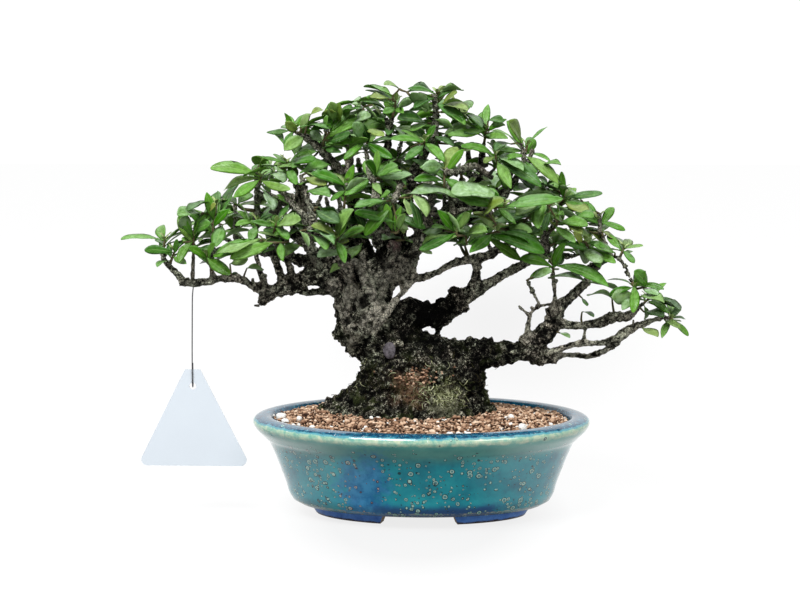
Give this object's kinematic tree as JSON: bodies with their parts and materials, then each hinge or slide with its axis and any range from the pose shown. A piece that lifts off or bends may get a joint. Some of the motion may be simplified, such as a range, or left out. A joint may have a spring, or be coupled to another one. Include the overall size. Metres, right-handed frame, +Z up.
{
  "type": "bonsai tree in a pot",
  "caption": "Pyracantha bonsai with a thick low trunk and a domed evergreen crown, planted in granular soil in an oval glazed pot with feet; a blank tag hangs from a branch on a wire.",
  "frame": {"origin": "on the ground, under the middle of the box round the pot and the plant, with the tag and its wire left out", "axes": "+X to the right along the pot's length, +Y to the back, +Z up; the viewer stands on the -Y side"},
  "size_m": [0.364, 0.1742, 0.2787],
  "materials": {
    "glaze": "gloss",
    "soil": "matte",
    "bark": "matte",
    "leaf": "satin",
    "screen": "matte",
    "tag": "satin",
    "wire": "satin"
  },
  "bodies": {
    "root": {"pot": "glaze", "soil": "soil", "trunk": "bark", "drain_screen_left": "screen", "drain_screen_right": "screen", "spray_far_left": "leaf", "spray_left_low": "leaf", "spray_left_fold": "leaf", "spray_left_double": "leaf", "spray_left_drop": "leaf", "spray_left_mid": "leaf", "spray_left_long": "leaf", "spray_left_bright": "leaf", "spray_left_top": "leaf", "spray_shoulder": "leaf", "spray_crown_left": "leaf", "spray_crown_left_two": "leaf", "spray_crown_front": "leaf", "spray_centre_left": "leaf", "spray_centre_low_left": "leaf", "spray_centre_front": "leaf", "spray_centre_pale": "leaf", "spray_top_left": "leaf", "spray_apex": "leaf", "spray_crown_right": "leaf", "spray_crown_mid": "leaf", "spray_mid_bright": "leaf", "spray_right_top": "leaf", "spray_right_stubs": "leaf", "spray_right_long": "leaf", "spray_right_bright": "leaf", "spray_right_out": "leaf", "spray_right_cluster": "leaf", "spray_far_right_top": "leaf", "spray_far_right_tip": "leaf", "spray_far_right_low": "leaf", "spray_far_right_end": "leaf", "spray_far_right_hang": "leaf", "spray_long_arch": "leaf", "spray_right_low": "leaf", "spray_centre_right": "leaf", "spray_back_far_left": "leaf", "spray_back_left_low": "leaf", "spray_back_left": "leaf", "spray_back_left_mid": "leaf", "spray_back_shoulder": "leaf", "spray_back_crown_left": "leaf", "spray_back_mid": "leaf", "spray_back_crown": "leaf", "spray_back_crown_right": "leaf", "spray_back_centre": "leaf", "spray_back_right_mid": "leaf", "spray_back_right_top": "leaf", "spray_back_right": "leaf", "spray_back_right_low": "leaf", "spray_back_far_right": "leaf", "spray_back_low": "leaf", "tag_wire": "wire", "tag": "tag"}
  },
  "joints": []
}
